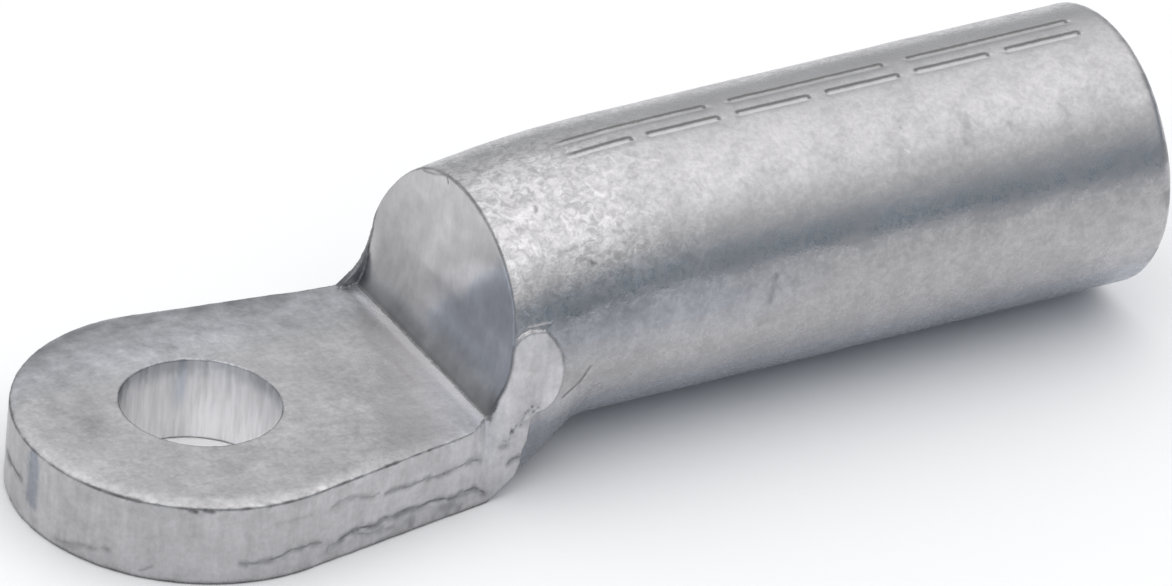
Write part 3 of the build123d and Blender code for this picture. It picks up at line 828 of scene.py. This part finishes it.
    # bluish cast of the metal where it turns away from the light
    under = skin * (1 - palm) * (x > 20) * (1 - smooth(4.5, 9.5, z)) * 0.72
    under = np.maximum(under, round_part * (1 - side) * (0.60 - 0.55 * smooth(38.0, 56.0, x)) * np.exp(-((turn - 82.0) / 13.0) ** 2))
    cool = np.maximum(under, face * smooth(1.5, -2.5, across * 1.414) * 0.95 * (0.25 + 0.75 * smooth(7.6, 10.8, z)))
    cool = np.maximum(cool, face * (1 - smooth(8.0, 11.0, z)) * 0.3)
    cool = np.maximum(cool, np.maximum(0.8 * neck, 0.9 * stain))
    cool = np.maximum(cool, 0.12 * palm + 0.30 * palm * smooth(2.0, 10.0, y))
    cool = np.maximum(cool, 0.12 * side + 0.10 * hole)
    cool = np.maximum(cool, np.maximum(0.4 * hole * smooth(5.0, 7.0, z), 0.8 * streak))
    q = p * np.array([1.0, 1.0, 0.12])
    h += side * (0.014 * noise(q, 1.1, 21) + 0.008 * noise(q, 0.5, 22))
    h += (side & (z < 2.2 + 0.4 * wob)) * 0.02 * noise(p, 0.7, 23)
    h += hole * 0.012 * noise(q, 0.7, 24)
    h += face * 0.010 * noise(p * np.array([1.0, 1.0, 0.35]), 2.0, 25)
    p = p + n * h[:, None]
    masks = {"dark": dark, "light": light, "sheared": side.astype(float), "pressed": face.astype(float),
             "punched": hole.astype(float), "palm": palm.astype(float), "gain": gain,
             "rough_skin": rough_skin, "cool": cool, "bored": bore.astype(float)}
    p[:, 1] += BODY_Y
    lo, hi = np.array(cad_box) * 1000
    p = np.clip(p, lo + 0.002, hi - 0.002)
    return p, tris, masks


def make_mesh(name, p, tris):
    me = bpy.data.meshes.new(name)
    me.vertices.add(len(p))
    me.vertices.foreach_set("co", (p / 1000.0).astype(np.float32).ravel())
    me.loops.add(len(tris) * 3)
    me.loops.foreach_set("vertex_index", tris.astype(np.int32).ravel())
    me.polygons.add(len(tris))
    me.polygons.foreach_set("loop_start", np.arange(0, len(tris) * 3, 3, dtype=np.int32))
    me.polygons.foreach_set("use_smooth", np.ones(len(tris), bool))
    me.update(calc_edges=True)
    me.validate()
    ob = bpy.data.objects.new(name, me)
    bpy.context.scene.collection.objects.link(ob)
    return ob


points, triangles, masks = build()
lug = make_mesh("lug_forging", points, triangles)
for key, values in masks.items():
    att = lug.data.attributes.new(key, "FLOAT", "POINT")
    att.data.foreach_set("value", values.astype(np.float32))
print("lug_forging", len(points), "points", len(triangles), "triangles")

# ---- camera --------------------------------------------------------------------
cam_az, cam_el, cam_roll = -0.573131541, 0.542023021, 0.085962505
cam_scale, cam_k, cam_tx, cam_ty = 12.6139076, 1 / 2050.0, -30.8311014, -15.069565
sa, ca, se, ce = np.sin(cam_az), np.cos(cam_az), np.sin(cam_el), np.cos(cam_el)
back = np.array([sa * ce, -ca * ce, se])
right = np.array([ca, sa, 0.0])
up = np.cross(back, right)
right2 = np.cos(cam_roll) * right + np.sin(cam_roll) * up
up2 = -np.sin(cam_roll) * right + np.cos(cam_roll) * up
place = (right2 * -cam_tx + up2 * -cam_ty + back / cam_k + np.array([0, BODY_Y, 0])) / 1000.0
cam_data = bpy.data.cameras.new("camera")
cam_data.sensor_fit = "HORIZONTAL"
cam_data.sensor_width = 36.0
cam_data.lens = cam_scale / cam_k * 36.0 / 1172.0
cam_data.clip_start, cam_data.clip_end = 0.5, 50.0
cam = bpy.data.objects.new("camera", cam_data)
m = Matrix.Identity(4)
for i, axis in enumerate((right2, up2, back)):
    for j in range(3):
        m[j][i] = float(axis[j])
for j in range(3):
    m[j][3] = float(place[j])
cam.matrix_world = m
bpy.context.scene.collection.objects.link(cam)
bpy.context.scene.camera = cam

# ---- material --------------------------------------------------------------------
mat = bpy.data.materials.new("aluminium_pickled")
mat.use_nodes = True
nt = mat.node_tree
nodes, links = nt.nodes, nt.links
bsdf = nodes["Principled BSDF"]
bsdf.inputs["Metallic"].default_value = 1.0
coord = nodes.new("ShaderNodeTexCoord")


def put(value, socket):
    if isinstance(value, (int, float)):
        socket.default_value = value
    elif isinstance(value, tuple):
        socket.default_value = value
    else:
        links.new(value, socket)


def math_node(op, a, b=0.0, c=None, clamp=False):
    n = nodes.new("ShaderNodeMath")
    n.operation = op
    n.use_clamp = clamp
    put(a, n.inputs[0])
    put(b, n.inputs[1])
    if c is not None:
        put(c, n.inputs[2])
    return n.outputs[0]


def attribute(name):
    n = nodes.new("ShaderNodeAttribute")
    n.attribute_name = name
    return n.outputs["Fac"]


def space(stretch=(1, 1, 1), turn=(0, 0, 0)):
    """The lug's own millimetres, stretched or turned."""
    n = nodes.new("ShaderNodeMapping")
    links.new(coord.outputs["Object"], n.inputs["Vector"])
    n.inputs["Rotation"].default_value = turn
    n.inputs["Scale"].default_value = tuple(1000.0 * v for v in stretch)
    return n.outputs["Vector"]


def grain(vec, size, detail=3.0, rough=0.55, warp=0.0):
    n = nodes.new("ShaderNodeTexNoise")
    n.noise_dimensions = "3D"
    links.new(vec, n.inputs["Vector"])
    n.inputs["Scale"].default_value = 1.0 / size
    n.inputs["Detail"].default_value = detail
    n.inputs["Roughness"].default_value = rough
    n.inputs["Distortion"].default_value = warp
    return n.outputs["Fac"]


def remap(v, a, b, c=0.0, d=1.0):
    n = nodes.new("ShaderNodeMapRange")
    n.interpolation_type = "SMOOTHSTEP"
    put(v, n.inputs["Value"])
    n.inputs["From Min"].default_value = a
    n.inputs["From Max"].default_value = b
    n.inputs["To Min"].default_value = c
    n.inputs["To Max"].default_value = d
    return n.outputs["Result"]


def blend(f, a, b):
    n = nodes.new("ShaderNodeMix")
    n.data_type = "FLOAT"
    put(f, n.inputs[0])
    put(a, n.inputs[2])
    put(b, n.inputs[3])
    return n.outputs[0]


mm = space()
dark, light = attribute("dark"), attribute("light")
sheared, pressed, punched, palm_top = (attribute(k) for k in ("sheared", "pressed", "punched", "palm"))
bored = attribute("bored")
plain = math_node("ADD", math_node("ADD", sheared, pressed), punched, clamp=True)   # not the tumbled skin

cloud = grain(mm, 6.0, 3.0, 0.5)
blotch = grain(mm, 1.7, 2.6, 0.5, 0.3)
fleck = grain(mm, 0.45, 2.0, 0.55, 0.5)
coarse = grain(mm, 0.66, 2.6, 0.55, 0.8)
crease = grain(mm, 0.75, 2.0, 0.5, 0.8)
fine = grain(mm, 0.16, 2.0, 0.6)
upright = grain(space((1, 1, 0.10)), 0.45, 3.0, 0.6)
upright_wide = grain(space((1, 1, 0.16)), 1.6, 2.0, 0.5)
rings = grain(space((1, 0.05, 0.05)), 0.35, 2.0, 0.55)
scratch_a = grain(space((0.30, 1.2, 1), (0, 0, 0.5)), 0.30, 2.5, 0.6, 0.5)
scratch_b = grain(space((1.2, 0.34, 1), (0, 0, 0.35)), 0.34, 2.5, 0.6, 0.5)

# lightness of the metal
gain, rough_skin = attribute("gain"), attribute("rough_skin")
tone = math_node("ADD", remap(cloud, 0.3, 0.7, -0.02, 0.02), remap(blotch, 0.28, 0.72, -0.022, 0.022))
tone_skin = math_node("ADD", tone, remap(fleck, 0.30, 0.70, -0.022, 0.022))
patchy = math_node("MULTIPLY", rough_skin, remap(cloud, 0.38, 0.62, 0.60, 1.25))
tone_skin = math_node("ADD", tone_skin, math_node("MULTIPLY", remap(coarse, 0.32, 0.68, -0.096, 0.096), patchy))
# bright creases of the pressed crown
fold = remap(math_node("ABSOLUTE", math_node("SUBTRACT", crease, 0.5)), 0.0, 0.035, 1.0, 0.0)
fold = math_node("MULTIPLY", math_node("MULTIPLY", fold, rough_skin), remap(blotch, 0.42, 0.58, 0.0, 1.0))
tone_skin = math_node("ADD", tone_skin, math_node("MULTIPLY", fold, 0.10))
tone_palm = math_node("ADD", tone_skin, remap(scratch_a, 0.3, 0.7, -0.018, 0.018))
tone_palm = math_node("ADD", tone_palm, remap(scratch_b, 0.3, 0.7, -0.014, 0.014))
tone_skin = blend(palm_top, tone_skin, tone_palm)
tone_side = math_node("ADD", remap(upright, 0.3, 0.7, -0.016, 0.016), remap(upright_wide, 0.3, 0.7, -0.024, 0.024))
tone_side = math_node("ADD", tone_side, remap(blotch, 0.28, 0.72, -0.036, 0.030))
tone_side = math_node("ADD", tone_side, remap(fleck, 0.30, 0.70, -0.022, 0.022))
tone_side = blend(pressed, tone_side, math_node("MULTIPLY", tone_side, 0.6))
tone_all = blend(plain, tone_skin, tone_side)
level = math_node("ADD", tone_all, 0.44)
# inside the hole and the bore the metal is painted lighter, for light that bounces in there
level = blend(punched, level, math_node("ADD", remap(upright, 0.30, 0.70, -0.064, 0.064), 0.74))
level = blend(bored, level, math_node("ADD", remap(rings, 0.3, 0.7, -0.06, 0.06), 0.62))
# gain, light and dark carry the painted light and shade, with the marks and random tone
level = math_node("MULTIPLY", level, gain)
level = blend(light, level, 0.70)
level = blend(dark, level, 0.10)
level = math_node("MAXIMUM", level, 0.05)
cool = attribute("cool")
rgb = nodes.new("ShaderNodeCombineColor")
links.new(math_node("MULTIPLY", level, remap(cool, 0.0, 1.0, 1.0, 0.93)), rgb.inputs[0])
inside = math_node("MAXIMUM", bored, punched)
links.new(math_node("MULTIPLY", level, blend(inside, 0.984, 0.993)), rgb.inputs[1])
links.new(math_node("MULTIPLY", level, remap(cool, 0.0, 1.0, 1.004, 1.10)), rgb.inputs[2])
links.new(rgb.outputs[0], bsdf.inputs["Base Color"])

# gloss
ro = math_node("ADD", remap(fleck, 0.3, 0.7, 0.05, -0.05), remap(blotch, 0.3, 0.7, 0.04, -0.04))
ro = math_node("ADD", ro, math_node("MULTIPLY", palm_top, 0.06))
ro = math_node("ADD", ro, 0.29)
ro = blend(punched, ro, 0.50)
ro = blend(bored, ro, 0.62)
ro = blend(pressed, ro, 0.30)
ro = blend(sheared, ro, 0.42)
ro = blend(light, ro, 0.26)
ro = blend(dark, ro, 0.60)
links.new(ro, bsdf.inputs["Roughness"])

# fine relief
bump_h = math_node("ADD", math_node("MULTIPLY", fleck, 0.0042), math_node("MULTIPLY", blotch, 0.023))
bump_h = math_node("ADD", bump_h, math_node("MULTIPLY", math_node("MULTIPLY", coarse, rough_skin), 0.040))
bump_h = math_node("ADD", bump_h, math_node("MULTIPLY", fine, 0.0016))
bump_p = math_node("ADD", math_node("MULTIPLY", scratch_a, 0.007), math_node("MULTIPLY", scratch_b, 0.006))
bump_p = math_node("ADD", bump_p, math_node("MULTIPLY", bump_h, 0.6))
bump_h = blend(palm_top, bump_h, bump_p)
bump_s = math_node("ADD", math_node("MULTIPLY", upright, 0.006), math_node("MULTIPLY", fine, 0.004))
bump_f = math_node("MULTIPLY", upright, 0.0015)
bump_h = blend(sheared, bump_h, bump_s)
bump_h = blend(punched, bump_h, math_node("MULTIPLY", upright, 0.022))
bump_h = blend(pressed, bump_h, bump_f)
bump_h = blend(bored, bump_h, math_node("MULTIPLY", rings, 0.012))
bump = nodes.new("ShaderNodeBump")
bump.inputs["Strength"].default_value = 1.0
bump.inputs["Distance"].default_value = 0.001
links.new(bump_h, bump.inputs["Height"])
links.new(bump.outputs["Normal"], bsdf.inputs["Normal"])
lug.data.materials.append(mat)

# ---- floor and light ----------------------------------------------------------------
def mesh_object(name, verts, faces):
    me = bpy.data.meshes.new(name)
    me.from_pydata(verts, [], faces)
    ob = bpy.data.objects.new(name, me)
    bpy.context.scene.collection.objects.link(ob)
    return ob


floor = mesh_object("floor", [(-3, -3, 0), (3, -3, 0), (3, 3, 0), (-3, 3, 0)], [(0, 1, 2, 3)])
floor.location = (0, 0, -0.00002)
fm = bpy.data.materials.new("floor_pale")
fm.use_nodes = True
fb = fm.node_tree.nodes["Principled BSDF"]
fb.inputs["Base Color"].default_value = (0.90, 0.90, 0.91, 1)
fb.inputs["Roughness"].default_value = 0.7
floor.data.materials.append(fm)


world = bpy.data.worlds.new("world")
bpy.context.scene.world = world
world.use_nodes = True
wn, wl = world.node_tree.nodes, world.node_tree.links
bg = wn["Background"]
sky = wn.new("ShaderNodeTexCoord")
split = wn.new("ShaderNodeSeparateXYZ")
wl.new(sky.outputs["Generated"], split.inputs[0])


def sky_ramp(stops):
    ramp = wn.new("ShaderNodeValToRGB")
    wl.new(split.outputs["Z"], ramp.inputs["Fac"])
    el = ramp.color_ramp.elements
    while len(el) < len(stops):
        el.new(0.5)
    for k, (pos, v, blue) in enumerate(stops):
        el[k].position = pos
        el[k].color = (v * (1 - 0.5 * blue), v, v * (1 + 0.5 * blue), 1)
    return ramp.outputs["Color"]


# a dim, bluish room in front, a paler sweep behind, and a broad soft light above
front = sky_ramp([(0.0, 0.20, 0.36), (0.10, 0.215, 0.38), (0.26, 0.285, 0.34), (0.42, 0.42, 0.10), (0.60, 0.71, 0.0),
                  (0.74, 0.92, 0.0), (0.86, 1.15, 0.0), (1.0, 1.13, 0.0)])
back = sky_ramp([(0.0, 0.47, 0.05), (0.10, 0.45, 0.06), (0.25, 0.47, 0.06), (0.42, 0.59, 0.02), (0.62, 0.85, 0.0),
                 (0.85, 1.07, 0.0), (1.0, 1.13, 0.0)])
turned = wn.new("ShaderNodeMapRange")
turned.interpolation_type = "SMOOTHSTEP"
wl.new(split.outputs["Y"], turned.inputs["Value"])
turned.inputs["From Min"].default_value = -0.2
turned.inputs["From Max"].default_value = 0.5
both = wn.new("ShaderNodeMix")
both.data_type = "RGBA"
wl.new(turned.outputs["Result"], both.inputs[0])
wl.new(front, both.inputs[6])
wl.new(back, both.inputs[7])
wl.new(both.outputs[2], bg.inputs["Color"])
bg.inputs["Strength"].default_value = 1.35

bpy.context.scene.view_settings.view_transform = "Standard"

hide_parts("lug")
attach(lug, "root")
